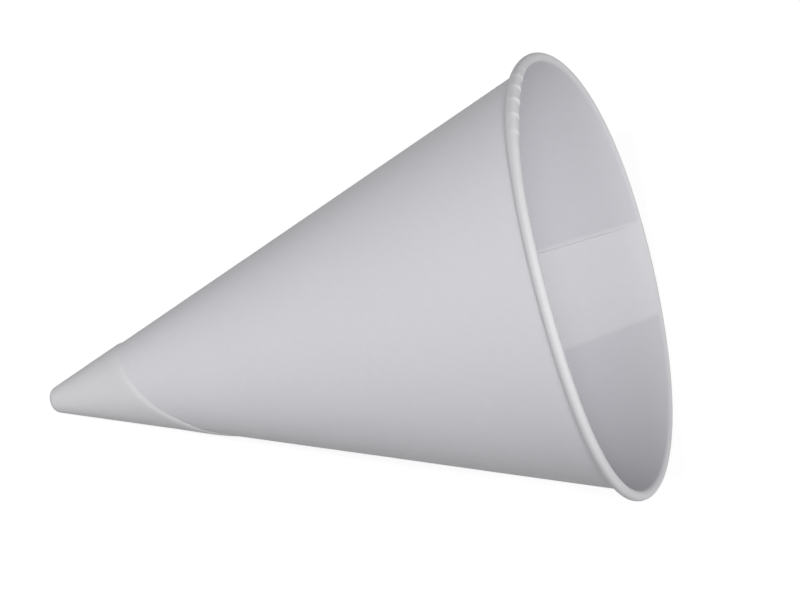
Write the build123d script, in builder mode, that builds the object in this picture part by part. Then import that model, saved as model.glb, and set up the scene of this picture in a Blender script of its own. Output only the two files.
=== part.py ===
from build123d import *
from math import asin, atan2, cos, degrees, hypot, pi, radians, sin, sqrt, tan
import os

# Driving dimensions, in millimetres and degrees.
rim_diameter = 70.0      # over the rolled rim
cup_height = 94.2        # from the nose to the top of the rolled rim, along the axis
paper = 0.2              # one ply
bead_width = 1.6         # the rolled rim, across the wall
bead_height = 1.7        # the rolled rim, along the wall
core_sides = 8           # straight sides that stand for the round hollow inside the rolled rim
nose_diameter = 4.5      # over the blunt tip
lap_width = 15.3         # the glued lap, measured round the rim
lap_azimuth = 286.0      # middle of the lap at the rim, with the cup's heaviest side turned down
flap_distance = 21.0     # from the cone's apex to the flap's tip cut, in the flat sheet
flap_turn = 268.7        # from where the tip cut comes nearest to the apex, round the cone to the lap's middle
flap_corner = 25.5       # along the tip cut, from there to the flap's corner
flap_stations = 9        # sections along each cut of the flap
fade_width = 4.0         # the outer ply comes down over the inner edge in this width, at the rim
feather = 0.02           # what is left of a step where it fades out
seam_start = 16.8        # nearer to the nose than this slant length, the plies are pressed into one
settling_rounds = 6      # for the rolled rim's place and the wall's slope, which depend on each other

# The axial half-section, in its own plane: x outwards from the axis, y along it, origin at the nose's centre.
# A ply's middle is offset 0, and the outer ply lies on the outside of the inner one.
half_ply = paper / 2
outer_face = half_ply + paper
nose_radius = nose_diameter / 2
ply_radius = nose_radius - outer_face
half_angle = atan2(rim_diameter / 2, cup_height)
for settle in range(settling_rounds):
    bead_x = rim_diameter / 2 - hypot(bead_width * cos(half_angle), bead_height * sin(half_angle)) / 2
    bead_top = hypot(bead_width * sin(half_angle), bead_height * cos(half_angle)) / 2
    bead_y = cup_height - nose_radius - bead_top
    bead_reach = hypot(bead_x, bead_y)
    half_angle = atan2(bead_x, bead_y) - asin((ply_radius + bead_width / 2 - half_ply) / bead_reach)
slope = degrees(half_angle)
along = Vector(sin(half_angle), cos(half_angle))
across = Vector(cos(half_angle), -sin(half_angle))
bead_centre = Vector(bead_x, bead_y)
wall_length = bead_centre.dot(along)
apex_length = nose_radius / tan(half_angle)


def on_wall(slant, offset=0.0):
    """A point of the half-section: so far up the wall from the nose, so far out from the middle of the ply."""
    return along * slant + across * (ply_radius + offset)


def strip(start, end, inside, outside):
    """A strip of paper in the half-section, between two slant lengths and two offsets."""
    corners = [on_wall(start, inside), on_wall(end, inside), on_wall(end, outside), on_wall(start, outside)]
    Polygon(*corners, align=None)


# The cup lies on its heaviest side: the nose and the rolled rim touch the table, and the table is z = 0.
bead_out = (bead_width + bead_height) / 4
rest_angle = atan2(bead_x, bead_y) + asin((bead_out - nose_radius) / bead_reach)
lean = Vector(cos(rest_angle), 0, sin(rest_angle))
lying_length = nose_radius + bead_y * lean.X + bead_x * lean.Z + bead_out
nose_centre = Vector(nose_radius - lying_length / 2, 0, nose_radius)
cup_plane = Plane(origin=nose_centre, x_dir=(0, 1, 0), z_dir=lean)
cup_axis = Axis(nose_centre, lean)


def section_plane(azimuth):
    """The axial plane at an azimuth about the cup's axis: 0 is +Y, 90 the upper side, 270 the table's side."""
    outwards = cup_plane.x_dir.rotate(cup_axis, azimuth)
    return Plane(origin=nose_centre, x_dir=outwards, z_dir=outwards.cross(lean))


# The flat sheet, laid out round the cone's apex: an azimuth there shrinks to this share of itself.
flat = sin(half_angle)
rim_slant = wall_length + apex_length
lap_angle = degrees(lap_width / rim_slant) / flat
fade_angle = degrees(fade_width / rim_slant) / flat
flap_edge = lap_azimuth - lap_angle / 2
inner_edge = lap_azimuth + lap_angle / 2
flap_azimuth = lap_azimuth - flap_turn
corner_azimuth = flap_azimuth + degrees(atan2(flap_corner, flap_distance)) / flat
corner_slant = hypot(flap_distance, flap_corner)


def sheet_point(slant, azimuth):
    """Where a point of the cone lies in the flat sheet."""
    return Vector(slant * cos(radians(azimuth) * flat), slant * sin(radians(azimuth) * flat))


corner_point = sheet_point(corner_slant, corner_azimuth)
rim_point = sheet_point(rim_slant, flap_edge)
side_cut = (rim_point - corner_point).normalized()
side_distance = corner_point.X * side_cut.Y - corner_point.Y * side_cut.X
side_angle = degrees(atan2(-side_cut.X, side_cut.Y))


def flap_slant(azimuth):
    """How far up the wall the flap reaches at an azimuth: to its tip cut, or past the corner to its side cut."""
    if azimuth <= corner_azimuth:
        reach = flap_distance / cos(radians((azimuth - flap_azimuth) * flat))
    else:
        reach = side_distance / cos(radians(azimuth * flat - side_angle))
    return reach - apex_length


lap_top = wall_length - bead_height / 2
os.makedirs("parts", exist_ok=True)

# The outer ply: all round at the tip, then cut back along the flap's two straight edges.
with BuildPart() as flap:
    with BuildSketch(section_plane(0)):
        with BuildLine():
            outer_nose = CenterArc((0, 0), nose_radius, -90, 90 - slope)
            outer_wall = Line(outer_nose @ 1, on_wall(lap_top, outer_face))
            top = Line(outer_wall @ 1, on_wall(lap_top))
            inner_wall = Line(top @ 1, on_wall(0))
            inner_nose = CenterArc((0, 0), ply_radius, -slope, slope - 90)
            Line(inner_nose @ 1, outer_nose @ 0)
        make_face()
    revolve(axis=cup_axis)
    for first, last in ((inner_edge - 360, corner_azimuth), (corner_azimuth, flap_edge)):
        for station in range(flap_stations):
            azimuth = first + (last - first) * station / (flap_stations - 1)
            with BuildSketch(section_plane(azimuth)):
                strip(flap_slant(azimuth), rim_slant, -outer_face, 2 * outer_face)
        loft(mode=Mode.SUBTRACT)

with BuildPart() as cup:
    # One ply all round: nose, wall, and the rolled rim that comes back down to the wall's outside.
    crease_cos = 2 * paper / bead_width - 1
    crease_angle = degrees(atan2(sqrt(1 - crease_cos**2), crease_cos))
    with BuildSketch(section_plane(0)):
        with BuildLine():
            nose_inside = CenterArc((0, 0), ply_radius - half_ply, -90, 90 - slope)
            wall_inside = Line(nose_inside @ 1, on_wall(wall_length, -half_ply))
            roll = EllipticalCenterArc(
                bead_centre, bead_width / 2, bead_height / 2, -crease_angle,
                arc_size=180 + crease_angle, rotation=-slope,
            )
            wall_outside = Line(roll @ 0, on_wall(0, half_ply))
            nose_outside = CenterArc((0, 0), ply_radius + half_ply, -slope, slope - 90)
            Line(nose_outside @ 1, nose_inside @ 0)
        make_face()
        core = []
        for side in range(core_sides):
            turn = 2 * pi * side / core_sides
            core_across = across * ((bead_width / 2 - outer_face) * cos(turn) + half_ply)
            core_along = along * (bead_height / 2 - paper) * sin(turn)
            core.append(bead_centre + core_across + core_along)
        Polygon(*core, align=None, mode=Mode.SUBTRACT)
    revolve(axis=cup_axis)
    add(flap.part)

    # Past the inner edge the outer ply comes down to be the wall again.
    with BuildSketch(section_plane(inner_edge)):
        strip(seam_start, lap_top, 0, outer_face)
    with BuildSketch(section_plane(inner_edge + fade_angle)):
        strip(seam_start, lap_top, 0, half_ply + feather)
    loft()

    # Inside, the inner edge is a step, and the hollow beyond it fades out as the outer ply comes down.
    with BuildSketch(section_plane(inner_edge)):
        strip(seam_start, lap_top, -half_ply - feather, half_ply)
    with BuildSketch(section_plane(inner_edge + fade_angle)):
        strip(seam_start, lap_top, -half_ply - feather, feather - half_ply)
    loft(mode=Mode.SUBTRACT)
cup.part.label = "cone_cup"
export_step(cup.part, "parts/cone_cup.step")
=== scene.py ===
"""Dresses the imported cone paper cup, and sets a table, lamps and a camera."""

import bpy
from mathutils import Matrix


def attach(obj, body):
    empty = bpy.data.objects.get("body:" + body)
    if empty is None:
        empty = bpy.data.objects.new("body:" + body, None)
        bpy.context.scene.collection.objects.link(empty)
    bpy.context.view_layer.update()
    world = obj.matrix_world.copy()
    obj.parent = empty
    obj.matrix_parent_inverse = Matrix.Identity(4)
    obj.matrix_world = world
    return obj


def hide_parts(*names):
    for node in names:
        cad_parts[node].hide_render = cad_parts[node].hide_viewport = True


bl_info = {
    "name": "Cone paper cup",
    "version": (1, 0, 0),
    "blender": (4, 5, 0),
    "location": "3D View > Sidebar > Paper cup",
    "description": "Rolls a paper blank into a cone cup with a curled rim",
    "category": "Add Mesh",
}

from math import asin, atan2, cos, hypot, pi, radians, sin, sqrt, tan
from types import SimpleNamespace

import bpy
from bpy.props import FloatProperty, FloatVectorProperty, IntProperty, PointerProperty
from mathutils import Matrix, Vector

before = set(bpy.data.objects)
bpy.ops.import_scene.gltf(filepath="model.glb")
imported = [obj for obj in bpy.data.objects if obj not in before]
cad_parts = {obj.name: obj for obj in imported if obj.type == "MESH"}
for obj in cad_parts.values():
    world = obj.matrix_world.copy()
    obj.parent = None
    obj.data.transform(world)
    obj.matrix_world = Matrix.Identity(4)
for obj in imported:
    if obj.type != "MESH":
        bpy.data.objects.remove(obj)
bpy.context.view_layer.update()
CUP_NODE = "cone_cup"
CUP_BODY = "root"
MM = 0.001

# How finely the cup is made.
COLUMN_PITCH = radians(0.75)
CRIMP_COLUMN_PITCH = radians(0.25)
MERGE_DISTANCE = 0.0001 * MM
SMOOTH_ANGLE = radians(38)

# Paper shines less than plastic or glass, for which this is 0.5.
PAPER_GLOSS = 0.15

WHITE = (1.0, 1.0, 1.0, 1.0)


# Sizes and colours that a user would change.


def length(name, description, millimetres):
    """A length property, kept in metres and shown in the scene's own unit."""
    return FloatProperty(
        name=name,
        description=description,
        default=millimetres * MM,
        precision=5,
        unit="LENGTH",
        subtype="DISTANCE",
    )


def angle(name, description, turned):
    """An angle property, given in degrees here and kept in radians."""
    return FloatProperty(
        name=name,
        description=description,
        default=radians(turned),
        unit="ROTATION",
        subtype="ANGLE",
    )


def factor(name, description, default, most=1.0):
    """A plain factor, whose slider ends at the most that makes sense."""
    return FloatProperty(
        name=name,
        description=description,
        default=default,
        min=0.0,
        soft_max=most,
        subtype="FACTOR",
    )


def count(name, description, default):
    """A whole number, 0 or more."""
    return IntProperty(name=name, description=description, default=default, min=0)


def colour(name, description, default):
    """A colour property."""
    return FloatVectorProperty(
        name=name,
        description=description,
        default=default,
        size=3,
        min=0.0,
        max=1.0,
        subtype="COLOR",
    )


class CupSizes(bpy.types.PropertyGroup):
    """The cup's sizes, as in the solid model."""

    rim_diameter: length("Rim", "Over the rolled rim", 70.0)
    cup_height: length("Height", "From the nose to the top of the rim, along the axis", 94.2)
    paper: length("Paper", "One ply", 0.2)
    bead_width: length("Roll width", "The rolled rim, across the wall", 1.6)
    bead_height: length("Roll height", "The rolled rim, along the wall", 1.7)
    nose_diameter: length("Nose", "Over the blunt tip", 4.5)
    lap_width: length("Lap", "The glued lap, measured round the rim", 15.3)
    lap_azimuth: angle("Lap azimuth", "Middle of the lap at the rim", 286.0)
    flap_distance: length("Flap distance", "From the apex to the tip cut, in the flat sheet", 21.0)
    flap_turn: angle("Flap turn", "From the tip cut's nearest place to the lap's middle", 268.7)
    flap_corner: length("Flap corner", "From the tip cut's nearest place to its corner", 25.5)
    fade_width: length("Fade", "How wide the outer ply comes down, at the rim", 4.0)
    seam_start: length("Seam start", "Nearer to the nose the plies are pressed into one", 16.8)


class CupHandling(bpy.types.PropertyGroup):
    """What winding, rolling and handling left on the paper."""

    crimp_start: angle("Crimps from", "Where the row of crimps in the rolled rim begins", 36.2)
    crimp_pitch: angle("Crimp pitch", "From one crimp to the next, round the rim", 5.75)
    crimp_count: count("Crimps", "How many crimps there are", 7)
    crimp_depth: length("Crimp depth", "How far a crimp stands up", 0.11)
    swell: length("Swell", "How much looser the roll is wound where it is crimped", 0.36)
    swell_azimuth: angle("Swell azimuth", "Where the roll is loosest", 56.0)
    swell_spread: angle("Swell spread", "How far to each side the roll is loose", 30.0)
    flare: length("Flare", "How far the wall stands out where it meets the roll", 0.2)
    flare_reach: length("Flare reach", "How far below the roll the flare begins", 2.2)
    edge_fall: length("Edge fall", "The flap's edge is pressed down in this width", 1.2)
    edge_left: factor("Edge left", "How much of the ply's thickness the cut edge keeps", 0.15)
    corner_lift: length("Corner lift", "How far the flap's corner has lifted off", 0.12)
    corner_reach: length("Corner reach", "How far from the corner the lift begins", 7.0)
    nose_press: factor("Nose press", "How far the very tip is pressed blunt", 0.3)
    cockle: length("Cockle", "How far the wall wanders in and out", 0.02)
    cockle_size: length("Cockle size", "From one low place in the wall to the next", 18.0)
    rim_tilt: length("Rim tilt", "How far one side of the rim stands above the middle", 0.58)
    rim_tilt_azimuth: angle("Rim tilt azimuth", "Where the tilted rim is highest", 156.3)
    rim_bend: length("Rim bend", "How far two sides of the rim stand above the middle", 0.58)
    rim_bend_azimuth: angle("Rim bend azimuth", "Where the bent rim is highest", 299.2)
    rim_twist: length("Rim twist", "How far three sides of the rim stand above the middle", 0.26)
    rim_twist_azimuth: angle("Rim twist azimuth", "Where the twisted rim is highest", 348.0)
    seed: count("Seed", "Which of the like cups this one is", 4)


class PaperLook(bpy.types.PropertyGroup):
    """The paper's colour and surface."""

    single_ply: colour("Paper", "Outside, where it is one ply thick", (0.778, 0.772, 0.81))
    double_ply: colour("Two plies", "Outside, where two plies lie together", (0.77, 0.765, 0.79))
    # Painted shade: the inner faces are darker than the outer ones to stand in for the lesser
    # light inside the cone.
    shaded_inner_ply: colour("Paper inside", "The duller inner face of one ply", (0.66, 0.653, 0.69))
    shaded_inner_double: colour("Two plies inside", "The inner face of two plies", (0.735, 0.729, 0.755))
    # Painted shade: the roll is darker than the wall to stand in for the shade where its curl
    # turns from the light.
    rolled_ply: colour("Rolled paper", "The roll, which lets light through", (0.685, 0.68, 0.7))
    # Painted highlight: the crimps' ridges are near white to stand in for the light that they
    # catch.
    pleated_ply: colour("Pleated paper", "A crimp's doubled paper", (0.95, 0.945, 0.96))
    cut_edge: colour("Cut edge", "Where the fibres are open", (0.8, 0.797, 0.81))
    roughness: factor("Roughness", "How matt the paper is", 0.55)
    cut_roughness: factor("Cut roughness", "How matt the cut edge is", 0.7)
    cloud_size: length("Cloud size", "Size of the cloudy thick and thin places in the sheet", 1.4)
    cloud_contrast: factor("Cloud contrast", "How much the clouds show", 0.04, 0.3)
    fibre_size: length("Fibre size", "Length of the fibres that show", 0.5)
    fibre_contrast: factor("Fibre contrast", "How much the fibres show", 0.04, 0.3)
    grain_height: length("Grain height", "How rough the surface is", 0.02)


class StageLook(bpy.types.PropertyGroup):
    """The table, the light and the camera."""

    table_width: length("Table", "How wide the table is", 4000.0)
    table_colour: colour("Table colour", "The pale table", (0.3, 0.3, 0.3))
    table_lift: factor("Table lift", "How much whiter the table shows than it is lit", 0.78)
    sky_level: factor("Sky level", "Light that comes evenly from all round", 0.05, 2.0)
    lamp_distance: length("Lamp distance", "From the cup to each soft lamp", 2000.0)
    lamp_width: length("Lamp width", "How wide each soft lamp is", 600.0)
    upper_level: factor("Upper lamp", "Light on a surface turned to the upper lamp", 0.45, 2.0)
    upper_azimuth: angle("Upper azimuth", "Which way the upper lamp shines, 0 along +Y", -10.0)
    upper_elevation: angle("Upper elevation", "How steeply the upper lamp shines down", 77.0)
    tip_level: factor("Tip lamp", "Light on a surface turned to the tip's lamp", 0.4, 2.0)
    tip_azimuth: angle("Tip azimuth", "Which way the tip's lamp shines, 0 along +Y", 70.0)
    tip_elevation: angle("Tip elevation", "How steeply the tip's lamp shines down", 66.0)
    mouth_level: factor("Mouth lamp", "Light on a surface turned to the mouth's lamp", 0.44, 2.0)
    mouth_azimuth: angle("Mouth azimuth", "Which way the mouth's lamp shines, 0 along +Y", -68.0)
    mouth_elevation: angle("Mouth elevation", "How steeply the mouth's lamp shines down", 24.0)
    camera_azimuth: angle("Camera azimuth", "Which way the camera looks, 0 along +Y", -0.0838)
    camera_elevation: angle("Camera elevation", "How steeply the camera looks down", 72.5211)
    camera_roll: angle("Camera roll", "How far the camera turns about its line of sight", 7.2366)
    camera_distance: length("Camera distance", "From the camera to the point it looks at", 442.972)
    camera_aim: FloatVectorProperty(
        name="Camera aim",
        description="The point that the camera looks at",
        default=(8.101 * MM, 0.396 * MM, 30.0 * MM),
        size=3,
        precision=5,
        unit="LENGTH",
        subtype="TRANSLATION",
    )
    camera_lens: FloatProperty(
        name="Lens",
        description="Focal length on a 36 mm sensor",
        default=130.806,
        unit="CAMERA",
    )


# The cup's form, worked out from its sizes.


def direction(turned):
    """The way in a plane that is turned so far from its first axis."""
    return Vector((cos(turned), sin(turned)))


def cup_form(sizes, flare):
    """The cone, the rolled rim and the flat blank's cuts, in metres and radians."""
    form = SimpleNamespace()
    form.half_ply = sizes.paper / 2
    form.nose_radius = sizes.nose_diameter / 2
    form.ply_radius = form.nose_radius - sizes.paper - form.half_ply

    # The roll's place and the wall's slope depend on each other, and settle in a few rounds.
    half_angle = atan2(sizes.rim_diameter / 2, sizes.cup_height)
    settling_rounds = 6
    for _ in range(settling_rounds):
        wide = hypot(sizes.bead_width * cos(half_angle), sizes.bead_height * sin(half_angle)) / 2
        tall = hypot(sizes.bead_width * sin(half_angle), sizes.bead_height * cos(half_angle)) / 2
        roll = Vector((sizes.rim_diameter / 2 - wide, sizes.cup_height - form.nose_radius - tall))
        wall_side = form.ply_radius + sizes.bead_width / 2 - form.half_ply
        half_angle = atan2(roll.x, roll.y) - asin(wall_side / roll.length)
    form.half_angle = half_angle
    form.along = Vector((sin(half_angle), cos(half_angle)))
    form.across = direction(-half_angle)
    form.roll = roll
    form.wall_length = roll.dot(form.along)
    form.apex_length = form.nose_radius / tan(half_angle)
    form.lap_top = form.wall_length - sizes.bead_height / 2
    crease_cos = 2 * (sizes.paper + flare) / sizes.bead_width - 1
    form.crease_angle = atan2(sqrt(1 - crease_cos**2), crease_cos)

    # The cup lies on its nose and on its rolled rim.
    bead_out = (sizes.bead_width + sizes.bead_height) / 4
    form.rise = atan2(roll.x, roll.y) + asin((bead_out - form.nose_radius) / roll.length)
    lying_length = form.nose_radius + roll.y * cos(form.rise) + roll.x * sin(form.rise) + bead_out
    form.nose = Vector((form.nose_radius - lying_length / 2, 0, form.nose_radius))

    # The flat blank, laid out round the cone's apex, where an azimuth shrinks to this share of it.
    flat = sin(half_angle)
    rim_slant = form.wall_length + form.apex_length
    form.flat = flat
    lap_half = sizes.lap_width / rim_slant / flat / 2
    form.fade_angle = sizes.fade_width / rim_slant / flat
    form.inner_edge = sizes.lap_azimuth + lap_half
    flap_edge = sizes.lap_azimuth - lap_half
    form.tip_azimuth = sizes.lap_azimuth - sizes.flap_turn
    form.corner_azimuth = form.tip_azimuth + atan2(sizes.flap_corner, sizes.flap_distance) / flat
    form.corner_slant = hypot(sizes.flap_distance, sizes.flap_corner)
    corner = form.corner_slant * direction(form.corner_azimuth * flat)
    rim = rim_slant * direction(flap_edge * flat)
    side = (rim - corner).normalized()
    form.side_distance = corner.x * side.y - corner.y * side.x
    form.side_angle = atan2(-side.x, side.y)
    return form


def lying_place(form):
    """What lays the upright cup down, so that its own axis rises from the nose towards +X."""
    lean = Vector((cos(form.rise), 0, sin(form.rise)))
    level = Vector((0, 1, 0))
    turn = Matrix((level, lean.cross(level), lean)).transposed().to_4x4()
    return Matrix.Translation(form.nose) @ turn


def wall_section(sizes, form, handling):
    """The single ply's half-section: its points, and the numbers that each of them carries."""
    nose_steps, inside_steps, roll_steps, flare_steps, outside_steps = 8, 18, 36, 7, 20
    swell_bend = 0.6  # under 1, the roll stands out most on the mouth's side of its middle
    crimp_bend, crimp_width = 0.45, 3  # the crimps lie still further that way, and are narrower
    # The inner face's painted shade fades out over the first part of the roll.
    inside_fade = 2.5  # the look of the inner face is gone after one part in this many of the roll
    inside = form.ply_radius - form.half_ply
    outside = form.ply_radius + form.half_ply
    nose_turn = pi / 2 - form.half_angle
    stations = []

    def station(place, run, rolled=0.0, crimped=0.0, inner=0.0):
        stations.append((place, run, rolled, crimped, inner))

    for step in range(nose_steps):
        turn = nose_turn * (1 - step / nose_steps)
        station(inside * direction(-form.half_angle - turn), -form.ply_radius * turn, inner=1.0)
    for step in range(inside_steps):
        slant = form.wall_length * step / inside_steps
        station(form.along * slant + form.across * inside, slant, inner=1.0)

    run = form.wall_length
    before = form.along * form.wall_length + form.across * inside
    for step in range(roll_steps + 1):
        share = step / roll_steps
        turn = pi - (pi + form.crease_angle) * share
        over_wall = form.across * sizes.bead_width / 2 * cos(turn)
        place = form.roll + over_wall + form.along * sizes.bead_height / 2 * sin(turn)
        run += (place - before).length
        before = place
        rolled = sin(pi * share**swell_bend)
        crimped = sin(pi * share**crimp_bend) ** crimp_width
        station(place, run, rolled, crimped, max(0.0, 1 - inside_fade * share))

    crease_slant = (before - form.across * outside).dot(form.along)
    for step in range(flare_steps):
        share = step / flare_steps
        flare = handling.flare * (1 - share) ** 2
        slant = crease_slant - handling.flare_reach * share
        station(form.along * slant + form.across * (outside + flare), slant)
    for step in range(outside_steps + 1):
        slant = (crease_slant - handling.flare_reach) * (1 - step / outside_steps)
        station(form.along * slant + form.across * outside, slant)
    for step in range(1, nose_steps + 1):
        turn = nose_turn * step / nose_steps
        station(outside * direction(-form.half_angle - turn), -form.ply_radius * turn)

    places, *columns = zip(*stations)
    points = [(place.x, place.y, 0.0) for place in places]
    return points, dict(zip(("run", "rolled", "crimped", "inside"), columns))


def ply_section(sizes, form, handling):
    """The lapped ply's closed section: share of its reach, way back from its edge, and offset."""
    wall_steps, edge_steps, nose_steps = 16, 6, 7
    edge_round = 1.6  # over 1, the pressed edge is rounder towards its top
    bottom = form.half_ply / 2
    top = form.half_ply + sizes.paper
    low = bottom + (top - bottom) * handling.edge_left
    nose_turn = form.ply_radius * (pi / 2 - form.half_angle)
    nose_runs = [nose_turn * (1 - step / nose_steps) for step in range(nose_steps)]
    nose_runs += [0.0] * (wall_steps + 1)
    shares = [0.0] * nose_steps + [step / wall_steps for step in range(wall_steps + 1)]
    points = [(share, 0.0, bottom) for share in shares]
    for step in range(edge_steps):
        risen = 1 - (1 - step / edge_steps) ** edge_round
        points.append((1.0, handling.edge_fall * step / edge_steps, low + (top - low) * risen))
    points += [(share, handling.edge_fall * share, top) for share in reversed(shares)]
    cut = [0.0] * (len(shares) - 1) + [1.0, 1.0] + [0.0] * (edge_steps - 1 + len(shares))
    return points, {"nose_run": nose_runs + [0.0] * edge_steps + nose_runs[::-1], "cut": cut}


def new_object(name, data, place=None):
    """An object in the scene, at the origin or at its place."""
    made = bpy.data.objects.new(name, data)
    if place is not None:
        made.matrix_world = place
    bpy.context.scene.collection.objects.link(made)
    return made


def line_object(name, points, values):
    """A mesh of points joined in a line, which carries numbers for the node tree."""
    mesh = bpy.data.meshes.new(name)
    mesh.from_pydata(points, [(first, first + 1) for first in range(len(points) - 1)], [])
    for label, numbers in values.items():
        mesh.attributes.new(label, "FLOAT", "POINT").data.foreach_set("value", numbers)
    return new_object(name, mesh)


# Node trees are written as plain sums.

GEOMETRY = "NodeSocketGeometry"
NUMBER = "NodeSocketFloat"
VECTOR = "NodeSocketVector"
MATERIAL = "NodeSocketMaterial"
OBJECT = "NodeSocketObject"


def reckon(tree, operation, *values):
    """One sum."""
    node = tree.nodes.new("ShaderNodeMath")
    node.operation = operation
    for socket, value in zip(node.inputs, values):
        feed(tree, value, socket)
    return Field(tree, node.outputs[0])


def feed(tree, value, socket):
    """Puts a number or a field into a socket."""
    if isinstance(value, Field):
        tree.links.new(value.socket, socket)
    else:
        socket.default_value = value


def live(sockets, label):
    """The socket in use among those of one name."""
    return next(socket for socket in sockets if socket.name == label and socket.enabled)


def added(tree, kind, output, inputs=None, **settings):
    """A new node with its settings and inputs set, as the field that it gives."""
    node = tree.nodes.new(kind)
    for name, setting in settings.items():
        setattr(node, name, setting)
    for label, value in (inputs or {}).items():
        feed(tree, value, live(node.inputs, label))
    return Field(tree, live(node.outputs, output))


def sum_of(operation, swapped=False):
    """A method that makes one sum of a field and its arguments."""

    def method(self, *others):
        values = (*others, self) if swapped else (self, *others)
        return reckon(self.tree, operation, *values)

    return method


class Field:
    """A number that changes from place to place, reckoned with as in plain code."""

    def __init__(self, tree, socket):
        self.tree = tree
        self.socket = socket

    __add__ = sum_of("ADD")
    __radd__ = sum_of("ADD", swapped=True)
    __sub__ = sum_of("SUBTRACT")
    __rsub__ = sum_of("SUBTRACT", swapped=True)
    __mul__ = sum_of("MULTIPLY")
    __rmul__ = sum_of("MULTIPLY", swapped=True)
    __truediv__ = sum_of("DIVIDE")
    __rtruediv__ = sum_of("DIVIDE", swapped=True)
    __mod__ = sum_of("FLOORED_MODULO")
    __pow__ = sum_of("POWER")
    __lt__ = sum_of("LESS_THAN")
    __gt__ = sum_of("GREATER_THAN")
    sine = sum_of("SINE")
    cosine = sum_of("COSINE")
    root = sum_of("SQRT")
    floor = sum_of("FLOOR")
    at_most = sum_of("MINIMUM")
    at_least = sum_of("MAXIMUM")

    def ramp(self, start, end):
        """0 before start, 1 past end, and a smooth rise between them."""
        inputs = {"Value": self, "From Min": start, "From Max": end}
        kind = "ShaderNodeMapRange"
        return added(self.tree, kind, "Result", inputs, interpolation_type="SMOOTHSTEP")


def vector(tree, x, y, z=0.0):
    """Three numbers as one vector."""
    return added(tree, "ShaderNodeCombineXYZ", "Vector", {"X": x, "Y": y, "Z": z})


def parts_of(field):
    """A vector's three numbers."""
    node = field.tree.nodes.new("ShaderNodeSeparateXYZ")
    feed(field.tree, field, node.inputs[0])
    return [Field(field.tree, socket) for socket in node.outputs]


def noise(tree, place, detail=0.0):
    """Cloudy noise from about -0.5 to 0.5, with its clouds about one unit of the place apart."""
    inputs = {"Scale": 1.0, "Detail": detail, "Vector": place}
    return added(tree, "ShaderNodeTexNoise", "Fac", inputs) - 0.5


def new_group(name, kind, inputs, numbers, outputs):
    """An empty node group with named sockets: its tree, its inputs as fields, and its output."""
    tree = bpy.data.node_groups.new(name, kind)
    inputs = {**inputs, **dict.fromkeys(numbers, NUMBER)}
    for way, sockets in (("INPUT", inputs), ("OUTPUT", outputs)):
        for label, socket_type in sockets.items():
            tree.interface.new_socket(name=label, in_out=way, socket_type=socket_type)
    given = tree.nodes.new("NodeGroupInput")
    fields = {label: Field(tree, given.outputs[label]) for label in inputs}
    return tree, fields, tree.nodes.new("NodeGroupOutput")


def place_group(tree, group, values):
    """A node group placed in a tree with its inputs set."""
    shading = tree.bl_idname == "ShaderNodeTree"
    node = tree.nodes.new("ShaderNodeGroup" if shading else "GeometryNodeGroup")
    node.node_tree = group
    for label, value in values.items():
        feed(tree, value, node.inputs[label])
    return node


def sampled(tree, geometry, value, kind, number):
    """What a geometry's point of that number carries."""
    inputs = {"Geometry": geometry, "Value": value, "Index": number}
    return added(tree, "GeometryNodeSampleIndex", "Value", inputs, data_type=kind)


def carried(tree, label):
    """A number that points carry."""
    inputs = {"Name": label}
    return added(tree, "GeometryNodeInputNamedAttribute", "Attribute", inputs, data_type="FLOAT")


def stored(tree, geometry, label, value, kind="FLOAT", domain="POINT"):
    """The geometry, which carries a named value."""
    inputs = {"Geometry": geometry, "Name": label, "Value": value}
    settings = {"data_type": kind, "domain": domain}
    return added(tree, "GeometryNodeStoreNamedAttribute", "Geometry", inputs, **settings)


def section_at(tree, section, row, *labels):
    """The three coordinates of a section's point, and the numbers of those names there."""
    position = added(tree, "GeometryNodeInputPosition", "Position")
    place = sampled(tree, section, position, "FLOAT_VECTOR", row)
    numbers = [sampled(tree, section, carried(tree, label), "FLOAT", row) for label in labels]
    return parts_of(place), numbers


def unrolled(tree, geometry, sheet):
    """The geometry with its place in the flat sheet as its UV map, reckoned at its points."""
    settings = {"data_type": "FLOAT_VECTOR", "domain": "POINT"}
    place = added(tree, "GeometryNodeFieldOnDomain", "Value", {"Value": sheet}, **settings)
    return stored(tree, geometry, "sheet", place, "FLOAT2", "CORNER")


def grid_of(tree, section, columns):
    """A grid with a row for each point of the section, and the column and row of its points."""
    kind = "GeometryNodeAttributeDomainSize"
    rows = added(tree, kind, "Point Count", {"Geometry": section})
    inputs = {"Vertices X": columns, "Vertices Y": rows}
    grid = added(tree, "GeometryNodeMeshGrid", "Mesh", inputs)
    number = added(tree, "GeometryNodeInputIndex", "Index")
    column = ((number + 0.5) / rows).floor()
    return grid, column, number - column * rows


def moved(tree, geometry, place):
    """The geometry with its points put at a place."""
    inputs = {"Geometry": geometry, "Position": place}
    return added(tree, "GeometryNodeSetPosition", "Geometry", inputs)


# What both plies need to know of the cup and of its handling.
WALL_SIZES = (
    "Half angle",
    "Wall length",
    "Apex length",
    "Nose radius",
    "Nose press",
    "Cockle",
    "Cockle size",
    "Seed",
    "Rim tilt",
    "Rim tilt azimuth",
    "Rim bend",
    "Rim bend azimuth",
    "Rim twist",
    "Rim twist azimuth",
)


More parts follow.
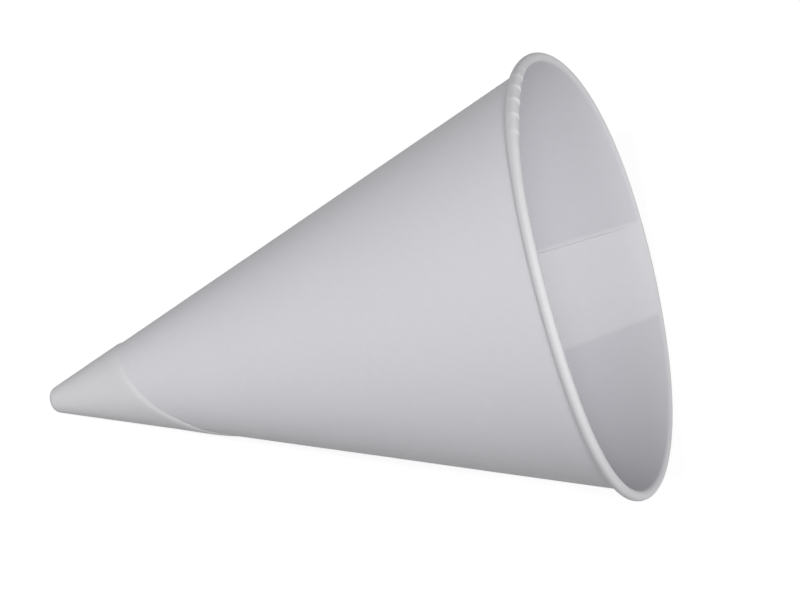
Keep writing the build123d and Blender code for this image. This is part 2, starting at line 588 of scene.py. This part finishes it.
def handled_paper_group():
    """Moves a point of the ideal cup to the handled one, with its blunt tip and bent rim."""
    seed_step = 7.3  # how far apart the clouds of two seeds lie
    stiff_nose, stiff_rim, rim_stiffness = 0.3, 0.9, 0.6  # the wall cockles between its ends
    sway_start = 0.35  # the rim's sway reaches down the wall to this share of its length
    labels = ("Outwards", "Upwards", "Slant", "Azimuth") + WALL_SIZES
    outputs = {"Place": VECTOR}
    tree, given, out = new_group("Handled paper", "GeometryNodeTree", {}, labels, outputs)
    outwards, upwards = given["Outwards"], given["Upwards"]
    azimuth, wall_length = given["Azimuth"], given["Wall length"]
    slant = given["Slant"].at_least(0.0).at_most(wall_length)
    flat, steep = given["Half angle"].sine(), given["Half angle"].cosine()
    side, front = azimuth.cosine(), azimuth.sine()

    middle = (slant + given["Apex length"]) * flat
    size = given["Cockle size"]
    seeded = slant / size + given["Seed"] * seed_step
    clouds = noise(tree, vector(tree, middle * side / size, middle * front / size, seeded))
    free = slant.ramp(0.0, wall_length * stiff_nose)
    free = free * (1 - rim_stiffness * slant.ramp(wall_length * stiff_rim, wall_length))
    cockle = clouds * 2 * given["Cockle"] * free

    sway = 0.0
    for waves, label in ((1, "Rim tilt"), (2, "Rim bend"), (3, "Rim twist")):
        sway = sway + given[label] * ((azimuth - given[label + " azimuth"]) * waves).cosine()
    sway = sway * slant.ramp(wall_length * sway_start, wall_length)

    below = (upwards * -1 - given["Nose radius"] * flat).at_least(0.0)
    upwards = upwards + below * below / (given["Nose radius"] * (1 - flat)) * given["Nose press"]
    outwards = outwards + cockle * steep + sway * flat
    upwards = upwards - cockle * flat + sway * steep
    feed(tree, vector(tree, outwards * side, outwards * front, upwards), out.inputs["Place"])
    return tree


def handled_place(tree, handled, given, outwards, upwards, slant, azimuth):
    """Where the handled cup has a point of the ideal one."""
    values = {"Outwards": outwards, "Upwards": upwards, "Slant": slant, "Azimuth": azimuth}
    values.update({label: given[label] for label in WALL_SIZES})
    return Field(tree, place_group(tree, handled, values).outputs["Place"])


def sheet_place(tree, given, slant, azimuth):
    """Where a point of the cup lies in the flat sheet, laid out round the cone's apex."""
    from_apex = slant + given["Apex length"]
    turned = azimuth * given["Half angle"].sine()
    return vector(tree, from_apex * turned.cosine(), from_apex * turned.sine())


def wall_columns(given):
    """How many columns the wall has, and how far round the sheet a column lies.

    The columns are fine through the crimps and coarse before and after them.
    """
    before = (given["Crimp start"] - given["Inner edge"]) % (2 * pi)
    crimps = given["Crimp pitch"] * given["Crimp count"]
    after = 2 * pi - before - crimps
    before_count = (before / given["Column pitch"]).floor() + 1
    crimp_count = (crimps / given["Crimp column pitch"]).floor() + 1
    after_count = (after / given["Column pitch"]).floor() + 1

    def turned(column):
        past = (column - before_count).at_least(0.0).at_most(crimp_count)
        past_crimps = (column - before_count - crimp_count).at_least(0.0).at_most(after_count)
        to_crimps = before / before_count * column.at_most(before_count)
        return to_crimps + crimps / crimp_count * past + after / after_count * past_crimps

    return before_count + crimp_count + after_count, turned


def rolled_wall_group(handled):
    """Sweeps the single ply's section all round the cup, from the sheet's inner edge."""
    ease_plies = 4  # the outer ply's rise begins and ends softly, in this many plies
    ridge_sharpness = 6  # the higher, the narrower a crimp is
    row_lean = 0.85  # under 1, the highest crimps come before the middle of the row
    labels = (
        "Column pitch",
        "Crimp column pitch",
        "Inner edge",
        "Fade angle",
        "Ply",
        "Seam start",
        "Lap top",
        "Roll outwards",
        "Roll upwards",
        "Crimp start",
        "Crimp pitch",
        "Crimp count",
        "Crimp depth",
        "Swell",
        "Swell azimuth",
        "Swell spread",
    )
    inputs, outputs = {"Section": GEOMETRY}, {"Wall": GEOMETRY}
    labels += WALL_SIZES
    tree, given, out = new_group("Rolled wall", "GeometryNodeTree", inputs, labels, outputs)

    # The last column is the first one again.
    last, turned_at = wall_columns(given)
    grid, column, row = grid_of(tree, given["Section"], last + 2)
    turned = turned_at(column)
    closed = turned * (column < last + 0.5)
    azimuth = given["Inner edge"] + closed
    carrying = ("run", "rolled", "crimped", "inside")
    place, numbers = section_at(tree, given["Section"], row, *carrying)
    outwards, upwards, _ = place
    run, rolled, crimped, inside = numbers

    # Past the inner edge the outer ply comes down to be the wall.
    ease = given["Ply"] * ease_plies
    raised = given["Ply"] * (1 - closed.ramp(0.0, given["Fade angle"]))
    raised = raised * run.ramp(given["Seam start"], given["Seam start"] + ease)
    raised = raised * (1 - run.ramp(given["Lap top"] - ease, given["Lap top"]))
    outwards = outwards + raised * given["Half angle"].cosine()
    upwards = upwards - raised * given["Half angle"].sine()

    # Where the roll is looser it stands out, and narrow crimps stand out of it.
    crimp = ((azimuth - given["Crimp start"]) % (2 * pi)) / given["Crimp pitch"]
    row_share = (crimp / given["Crimp count"]).at_most(1.0)
    pleat = (0.5 - 0.5 * (crimp * (2 * pi)).cosine()) ** ridge_sharpness
    pleat = pleat * (crimp < given["Crimp count"])
    pleat = pleat * (row_share**row_lean * pi).sine() * crimped
    from_swell = (azimuth - given["Swell azimuth"] + pi) % (2 * pi) - pi
    swell_share = (from_swell / given["Swell spread"]).at_most(1.0).at_least(-1.0)
    loose = (0.5 + 0.5 * (swell_share * pi).cosine()) * given["Swell"]
    from_roll = outwards - given["Roll outwards"]
    over_roll = upwards - given["Roll upwards"]
    radius = (from_roll * from_roll + over_roll * over_roll).root().at_least(given["Ply"])
    growth = (pleat * given["Crimp depth"] + loose * rolled) / radius
    outwards = outwards + growth * from_roll
    upwards = upwards + growth * over_roll

    place = handled_place(tree, handled, given, outwards, upwards, run, azimuth)
    wall = unrolled(tree, grid, sheet_place(tree, given, run, given["Inner edge"] + turned))
    # The inside mask tells where the inner face's painted shade goes.
    wall = stored(tree, wall, "inside", inside)
    # The rolled share also tells where the roll's painted shade goes.
    wall = stored(tree, wall, "rolled", rolled)
    # The crimps' ridges also carry a painted highlight, strongest in the middle of their row.
    wall = stored(tree, wall, "pleated", pleat * crimped)
    feed(tree, moved(tree, wall, place), out.inputs["Wall"])
    return tree


def lapped_ply_group(handled):
    """Lays the outer ply over the wall, all round at the tip and cut back along two edges."""
    start_gap = radians(0.05)  # keeps the ply's two ends apart
    corner_slack = 1e-5  # the corner's own column counts to the tip cut
    most_stretch = 4.5  # the pressed edge gets no wider than this where the cut runs up the cup
    labels = (
        "Column pitch",
        "Inner edge",
        "Ply radius",
        "Lap reach",
        "Tip distance",
        "Tip azimuth",
        "Side distance",
        "Side angle",
        "Corner azimuth",
        "Corner slant",
        "Corner lift",
        "Corner reach",
        "Under side",
    )
    inputs, outputs = {"Section": GEOMETRY}, {"Ply": GEOMETRY}
    labels += WALL_SIZES
    tree, given, out = new_group("Lapped ply", "GeometryNodeTree", inputs, labels, outputs)
    flat = given["Half angle"].sine()
    corner = given["Corner azimuth"]
    first = given["Inner edge"] - 2 * pi + start_gap
    tip_count = ((corner - first) / given["Column pitch"]).floor() + 1
    side_count = ((given["Inner edge"] - corner) / given["Column pitch"]).floor() + 1
    columns = tip_count + side_count

    # The first and last columns close the ply's ends.
    grid, column, row = grid_of(tree, given["Section"], columns + 3)
    inner = (column - 1).at_least(0.0).at_most(columns)
    azimuth = first + (corner - first) / tip_count * inner.at_most(tip_count)
    past_corner = (inner - tip_count).at_least(0.0)
    azimuth = azimuth + (given["Inner edge"] - corner) / side_count * past_corner
    ended = (column < 0.5) + (column > columns + 1.5)

    # The ply reaches as far as the tip cut, and past the corner as far as the side cut.
    on_tip = azimuth < corner + corner_slack
    tip_share = 1 / ((azimuth - given["Tip azimuth"]) * flat).cosine()
    side_share = 1 / (azimuth * flat - given["Side angle"]).cosine()
    stretch = tip_share * on_tip + side_share * (1 - on_tip)
    from_apex = given["Tip distance"] * tip_share * on_tip
    from_apex = from_apex + given["Side distance"] * side_share * (1 - on_tip)
    reach = (from_apex - given["Apex length"]).at_most(given["Lap reach"])
    place, numbers = section_at(tree, given["Section"], row, "nose_run", "cut")
    share, back, offset = place
    nose_run, cut = numbers
    slant = share * reach - back * stretch.at_most(most_stretch) * (1 - ended) - nose_run
    offset = offset * (1 - ended) + given["Under side"] * ended

    # The flap's corner has lifted off a little.
    from_corner = (azimuth - corner) * flat
    far = slant + given["Apex length"]
    near = given["Corner slant"]
    gap = far * far + near * near - 2 * far * near * from_corner.cosine()
    lifted = 1 - gap.at_least(0.0).root().ramp(0.0, given["Corner reach"])
    offset = offset + given["Corner lift"] * lifted * (1 - ended)

    radius = given["Ply radius"] + offset
    turn = slant.at_most(0.0) / given["Ply radius"] - given["Half angle"]
    straight = slant.at_least(0.0)
    outwards = radius * turn.cosine() + straight * flat
    upwards = radius * turn.sine() + straight * given["Half angle"].cosine()
    place = handled_place(tree, handled, given, outwards, upwards, slant, azimuth)
    ply = unrolled(tree, grid, sheet_place(tree, given, slant, azimuth))
    ply = stored(tree, ply, "lapped", 1.0)
    ply = stored(tree, ply, "cut", cut)
    feed(tree, moved(tree, ply, place), out.inputs["Ply"])
    return tree


def number_labels(group):
    """The names of a node group's number inputs."""
    items = group.interface.items_tree
    return [item.name for item in items if item.in_out == "INPUT" and item.socket_type == NUMBER]


def shaded(tree, geometry, domain, smooth, selection=True):
    """The geometry with its chosen faces or edges shaded smooth, or sharp."""
    inputs = {"Geometry": geometry, "Selection": selection, "Shade Smooth": smooth}
    return added(tree, "GeometryNodeSetShadeSmooth", "Geometry", inputs, domain=domain)


def paper_cup_tree(wall_group, ply_group):
    """The whole cup: rolled wall and lapped ply as one mesh, smooth but for its cut edges."""
    whole_cut = 0.99  # a face is a cut edge where all its points are
    labels = ["Merge distance", "Smooth angle"] + number_labels(wall_group)
    labels += [label for label in number_labels(ply_group) if label not in labels]
    inputs = {"Wall section": GEOMETRY, "Ply section": OBJECT}
    inputs.update({"Paper": MATERIAL, "Cut edge": MATERIAL})
    outputs = {"Cup": GEOMETRY}
    tree, given, out = new_group("Paper cup", "GeometryNodeTree", inputs, labels, outputs)
    inputs = {"Object": given["Ply section"]}
    ply_line = added(tree, "GeometryNodeObjectInfo", "Geometry", inputs)

    join = tree.nodes.new("GeometryNodeJoinGeometry")
    for group, section in ((ply_group, ply_line), (wall_group, given["Wall section"])):
        values = {label: given[label] for label in number_labels(group)}
        swept = place_group(tree, group, {"Section": section, **values})
        inputs = {"Geometry": Field(tree, swept.outputs[0]), "Distance": given["Merge distance"]}
        merged = added(tree, "GeometryNodeMergeByDistance", "Geometry", inputs)
        feed(tree, merged, join.inputs[0])

    joined = Field(tree, join.outputs[0])
    outwards = added(tree, "GeometryNodeFlipFaces", "Mesh", {"Mesh": joined})
    bend = added(tree, "GeometryNodeInputMeshEdgeAngle", "Unsigned Angle")
    smooth = shaded(tree, outwards, "FACE", True)
    creased = shaded(tree, smooth, "EDGE", False, bend > given["Smooth angle"])
    whole = added(tree, "GeometryNodeRealizeInstances", "Geometry", {"Geometry": creased})
    for label, selection in (("Paper", True), ("Cut edge", carried(tree, "cut") > whole_cut)):
        inputs = {"Geometry": whole, "Selection": selection, "Material": given[label]}
        whole = added(tree, "GeometryNodeSetMaterial", "Geometry", inputs)
    feed(tree, whole, out.inputs["Cup"])
    return tree


def set_inputs(modifier, values):
    """Sets a modifier's inputs by their sockets' identifiers."""
    items = modifier.node_group.interface.items_tree
    found = {item.name: item.identifier for item in items if item.in_out == "INPUT"}
    for label, value in values.items():
        modifier[found[label]] = value


def same_named(labels, *holders):
    """The numbers that the holders keep under the names of the labels."""
    found = {}
    for label in labels:
        attribute = label.lower().replace(" ", "_")
        for holder in holders:
            if hasattr(holder, attribute):
                found[label] = float(getattr(holder, attribute))
    return found


# Paper.


def paper_grain_group():
    """Paper close up: thick and thin places, and fibres that lie along and across the sheet."""
    slow_step, slow_share = 0.12, 0.6  # slower clouds lie further apart, and show less
    long_slim, cross_slim = 4.5, 4.0  # a fibre's length to its width, along and across the sheet
    cross_share = 0.7  # how much the fibres across show
    cross_layer = 5.0  # takes the fibres across from another part of the noise
    wandering = 3  # how much the fibres wander with the slow clouds
    cloud_height = 0.5
    cloud_detail, slow_detail, fibre_detail = 3.0, 1.0, 2.0
    labels = ("Cloud size", "Cloud contrast", "Fibre size", "Fibre contrast")
    inputs, outputs = {"Sheet": VECTOR}, {"Tone": NUMBER, "Height": NUMBER}
    tree, given, out = new_group("Paper grain", "ShaderNodeTree", inputs, labels, outputs)
    along, over, _ = parts_of(given["Sheet"])
    cloud, fibre = given["Cloud size"], given["Fibre size"]
    clouds = noise(tree, vector(tree, along / cloud, over / cloud), cloud_detail)
    slow_place = vector(tree, along / cloud * slow_step, over / cloud * slow_step)
    slow = noise(tree, slow_place, slow_detail)
    sway = slow * wandering
    long_place = vector(tree, along / fibre + sway, over / fibre * long_slim - sway)
    cross_place = vector(tree, along / fibre * cross_slim + sway, over / fibre - sway, cross_layer)
    cross_way = noise(tree, cross_place, fibre_detail)
    fibres = noise(tree, long_place, fibre_detail) + cross_way * cross_share
    tone = 1 + (clouds + slow * slow_share) * given["Cloud contrast"]
    feed(tree, tone + fibres * given["Fibre contrast"], out.inputs["Tone"])
    feed(tree, clouds * cloud_height + fibres, out.inputs["Height"])
    return tree


def mixed(tree, share, low, high):
    """A colour between two others."""
    low, high = (end if isinstance(end, Field) else (*end, 1.0) for end in (low, high))
    inputs = {"Factor": share, "A": low, "B": high}
    return added(tree, "ShaderNodeMix", "Result", inputs, data_type="RGBA")


def toned(tree, paper, tone):
    """A colour made lighter or darker."""
    inputs = {"Vector": paper, "Scale": tone}
    return added(tree, "ShaderNodeVectorMath", "Vector", inputs, operation="SCALE")


def new_material(name, gloss):
    """An empty material with its tree and its shader."""
    material = bpy.data.materials.new(name)
    material.use_nodes = True
    shader = material.node_tree.nodes["Principled BSDF"]
    shader.inputs["Specular IOR Level"].default_value = gloss
    return material, material.node_tree, shader


def grained(tree, grain, look):
    """The grain on the flat sheet: its tone, its height and the place in the sheet."""
    sheet = added(tree, "ShaderNodeUVMap", "UV", uv_map="sheet")
    values = {"Sheet": sheet, **same_named(number_labels(grain), look)}
    node = place_group(tree, grain, values)
    return Field(tree, node.outputs["Tone"]), Field(tree, node.outputs["Height"]), sheet


def surfaced(tree, shader, paper, roughness, height, distance):
    """Gives a shader its colour, its roughness and its raised grain."""
    feed(tree, paper, shader.inputs["Base Color"])
    feed(tree, roughness, shader.inputs["Roughness"])
    bump = added(tree, "ShaderNodeBump", "Normal", {"Distance": distance, "Height": height})
    feed(tree, bump, shader.inputs["Normal"])


def mesh_value(tree, label):
    """A number that the mesh carries."""
    return added(tree, "ShaderNodeAttribute", "Fac", attribute_name=label)


def lapped_share(tree, sheet, sizes, form):
    """1 where a ply lies on another and 0 elsewhere, told from the place in the flat sheet."""
    blur = 0.5 * MM
    along, over, _ = parts_of(sheet)
    round_once = 2 * pi * form.flat
    covered = 1.0
    for turned, distance in (
        (form.tip_azimuth * form.flat, sizes.flap_distance),
        (form.side_angle, form.side_distance),
    ):
        towards = along * cos(turned + round_once) + over * sin(turned + round_once)
        covered = (1 - towards.ramp(distance - blur, distance + blur)) * covered
    inner_turn = form.inner_edge * form.flat
    past_edge = over * cos(inner_turn) - along * sin(inner_turn)
    beside = 1 - past_edge.at_least(0.0).ramp(0.0, blur * 2)
    return covered.at_least(mesh_value(tree, "lapped")).at_least(beside)


def cup_paper(look, sizes, form, grain):
    """The cup's white paper, with painted shade inside the cup and on the roll, and a painted
    highlight on the crimps.
    """
    matt_change = 0.12  # the grain's high places are more matt by this much
    material, tree, shader = new_material("Cup paper", PAPER_GLOSS)
    tone, height, sheet = grained(tree, grain, look)
    lapped = lapped_share(tree, sheet, sizes, form)
    # Painted shade: the inner face takes darker colours, which stand in for the lesser light
    # inside the cone.
    inside = mesh_value(tree, "inside")
    single = mixed(tree, inside, look.single_ply, look.shaded_inner_ply)
    double = mixed(tree, inside, look.double_ply, look.shaded_inner_double)
    paper = mixed(tree, lapped, single, double)
    # Painted shade: the roll takes a darker colour.
    paper = mixed(tree, mesh_value(tree, "rolled"), paper, look.rolled_ply)
    # Painted highlight: the crimps' ridges take a near-white colour.
    paper = mixed(tree, mesh_value(tree, "pleated"), paper, look.pleated_ply)
    roughness = look.roughness + height * matt_change
    surfaced(tree, shader, toned(tree, paper, tone), roughness, height, look.grain_height)
    return material


def cut_paper(look, grain):
    """The paper's cut edge, rougher and with open fibres."""
    fibre_share, matt_change = 0.5, 0.1  # how much the fibres change the colour and the roughness
    height_times = 1.5  # the cut fibres stand higher than the pressed ones
    material, tree, shader = new_material("Cut paper edge", PAPER_GLOSS)
    tone, height, _ = grained(tree, grain, look)
    paper = mixed(tree, height * fibre_share + 0.5, look.cut_edge, look.double_ply)
    roughness = look.cut_roughness + height * matt_change
    distance = look.grain_height * height_times
    surfaced(tree, shader, toned(tree, paper, tone), roughness, height, distance)
    return material


class CUP_OT_roll(bpy.types.Operator):
    """Rolls the paper blank into the cup and lays it where the solid cup lies"""

    bl_idname = "paper_cup.roll"
    bl_label = "Roll the cup"

    def execute(self, context):
        kit = context.scene.paper_cup
        sizes, handling, look = kit.sizes, kit.handling, kit.look
        form = cup_form(sizes, handling.flare)
        wall_line = line_object("wall_section", *wall_section(sizes, form, handling))
        ply_line = line_object("ply_section", *ply_section(sizes, form, handling))
        grain = paper_grain_group()
        handled = handled_paper_group()
        tree = paper_cup_tree(rolled_wall_group(handled), lapped_ply_group(handled))
        modifier = wall_line.modifiers.new("Paper cup", "NODES")
        modifier.node_group = tree
        values = {
            "Ply section": ply_line,
            "Paper": cup_paper(look, sizes, form, grain),
            "Cut edge": cut_paper(look, grain),
            "Merge distance": MERGE_DISTANCE,
            "Smooth angle": SMOOTH_ANGLE,
            "Column pitch": COLUMN_PITCH,
            "Crimp column pitch": CRIMP_COLUMN_PITCH,
            "Ply": sizes.paper,
            "Under side": form.half_ply / 2,
            "Lap reach": form.wall_length - sizes.bead_height / 4,
            "Roll outwards": form.roll.x,
            "Roll upwards": form.roll.y,
            "Tip distance": sizes.flap_distance,
            **same_named(number_labels(tree), sizes, form, handling),
        }
        unset = set(number_labels(tree)) - set(values)
        if unset:
            raise RuntimeError("no number for " + ", ".join(sorted(unset)))
        set_inputs(modifier, values)
        graph = context.evaluated_depsgraph_get()
        mesh = bpy.data.meshes.new_from_object(
            wall_line.evaluated_get(graph), preserve_all_data_layers=True, depsgraph=graph
        )
        if not mesh.polygons:
            raise RuntimeError("the cup's node tree made no faces")
        mesh.transform(lying_place(form))
        mesh.name = "cone_paper_cup"
        for line in (wall_line, ply_line):
            line.modifiers.clear()
            bpy.data.objects.remove(line)
        cup = new_object("cone_paper_cup", mesh)
        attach(cup, CUP_BODY)
        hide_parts(CUP_NODE)
        return {"FINISHED"}


# Stage.


def outlook(azimuth, elevation):
    """The way of a look that is turned from +Y towards +X by azimuth and down by elevation."""
    return Vector((sin(azimuth) * cos(elevation), cos(azimuth) * cos(elevation), -sin(elevation)))


def looking(aim, way, distance, roll=0.0):
    """The place and turn of a lamp or camera that looks at a point from a distance."""
    right = way.cross(Vector((0, 0, 1))).normalized()
    up = right.cross(way)
    up, right = up * cos(roll) + right * sin(roll), right * cos(roll) - up * sin(roll)
    turn = Matrix((right, up, -way)).transposed().to_4x4()
    return Matrix.Translation(aim - way * distance) @ turn


def shown(tree):
    """1 for what is seen, also in a reflection, and 0 for what only lights the cup."""
    rays = tree.nodes.new("ShaderNodeLightPath").outputs
    seen = Field(tree, rays["Is Camera Ray"])
    for label in ("Is Glossy Ray", "Is Transmission Ray"):
        seen = seen.at_least(Field(tree, rays[label]))
    return seen


def table_material(stage):
    """The pale table, which shows whiter than it is lit and so fades into the white behind it."""
    material, tree, shader = new_material("Pale table", 0.0)
    shader.inputs["Base Color"].default_value = (*stage.table_colour, 1.0)
    shader.inputs["Roughness"].default_value = 0.9
    shader.inputs["Emission Color"].default_value = WHITE
    feed(tree, shown(tree) * stage.table_lift, shader.inputs["Emission Strength"])
    return material


def soft_lamp(name, level, aim, way, stage):
    """Hangs a far round lamp, under which a white surface turned to it shows at the level."""
    lamp = bpy.data.lights.new(name, "AREA")
    lamp.shape = "DISK"
    lamp.size = stage.lamp_width
    lamp.energy = level * pi**2 * stage.lamp_distance**2
    new_object(name, lamp, looking(aim, way, stage.lamp_distance))


class CUP_OT_stage(bpy.types.Operator):
    """Sets the table, the soft lights and the camera"""

    bl_idname = "paper_cup.stage"
    bl_label = "Set the stage"

    def execute(self, context):
        scene = context.scene
        stage = scene.paper_cup.stage
        half = stage.table_width / 2
        corners = [(-half, -half, 0), (half, -half, 0), (half, half, 0), (-half, half, 0)]
        mesh = bpy.data.meshes.new("table")
        mesh.from_pydata(corners, [], [(0, 1, 2, 3)])
        mesh.materials.append(table_material(stage))
        table = new_object("table", mesh)

        aim = Vector(stage.camera_aim)
        for side in ("upper", "tip", "mouth"):
            level = getattr(stage, side + "_level")
            azimuth = getattr(stage, side + "_azimuth")
            elevation = getattr(stage, side + "_elevation")
            soft_lamp(side + "_lamp", level, aim, outlook(azimuth, elevation), stage)

        world = bpy.data.worlds.new("Studio")
        scene.world = world
        world.use_nodes = True
        tree = world.node_tree
        sky = tree.nodes["Background"]
        sky.inputs["Color"].default_value = WHITE
        feed(tree, stage.sky_level + shown(tree) * (1 - stage.sky_level), sky.inputs["Strength"])

        camera = bpy.data.cameras.new("camera")
        camera.sensor_width = 36
        camera.lens = stage.camera_lens
        camera.clip_start = 0.01
        camera.clip_end = 10
        way = outlook(stage.camera_azimuth, stage.camera_elevation)
        place = looking(aim, way, stage.camera_distance, stage.camera_roll)
        scene.camera = new_object("camera", camera, place)
        scene.view_settings.view_transform = "Standard"
        return {"FINISHED"}


class PaperCup(bpy.types.PropertyGroup):
    """Everything that a user would change."""

    sizes: PointerProperty(type=CupSizes, name="Sizes", description="The cup's sizes")
    handling: PointerProperty(type=CupHandling, name="Handling", description="Marks of handling")
    look: PointerProperty(type=PaperLook, name="Paper", description="Its colour and surface")
    stage: PointerProperty(type=StageLook, name="Stage", description="Table, light and camera")


class CUP_PT_panel(bpy.types.Panel):
    """The cup's sizes and looks, with a button for each step"""

    bl_idname = "CUP_PT_panel"
    bl_label = "Paper cup"
    bl_space_type = "VIEW_3D"
    bl_region_type = "UI"
    bl_category = "Paper cup"

    def draw(self, context):
        kit = context.scene.paper_cup
        for group, operator in (
            (kit.sizes, None),
            (kit.handling, None),
            (kit.look, CUP_OT_roll),
            (kit.stage, CUP_OT_stage),
        ):
            box = self.layout.box()
            for label in group.__annotations__:
                box.prop(group, label)
            if operator:
                box.operator(operator.bl_idname)


CLASSES = (
    CupSizes,
    CupHandling,
    PaperLook,
    StageLook,
    PaperCup,
    CUP_OT_roll,
    CUP_OT_stage,
    CUP_PT_panel,
)


def register():
    for made in CLASSES:
        bpy.utils.register_class(made)
    bpy.types.Scene.paper_cup = PointerProperty(type=PaperCup)


def unregister():
    del bpy.types.Scene.paper_cup
    for made in reversed(CLASSES):
        bpy.utils.unregister_class(made)


def main():
    """Makes the cup and its stage."""
    register()
    bpy.ops.paper_cup.roll()
    bpy.ops.paper_cup.stage()


if __name__ == "__main__":
    main()
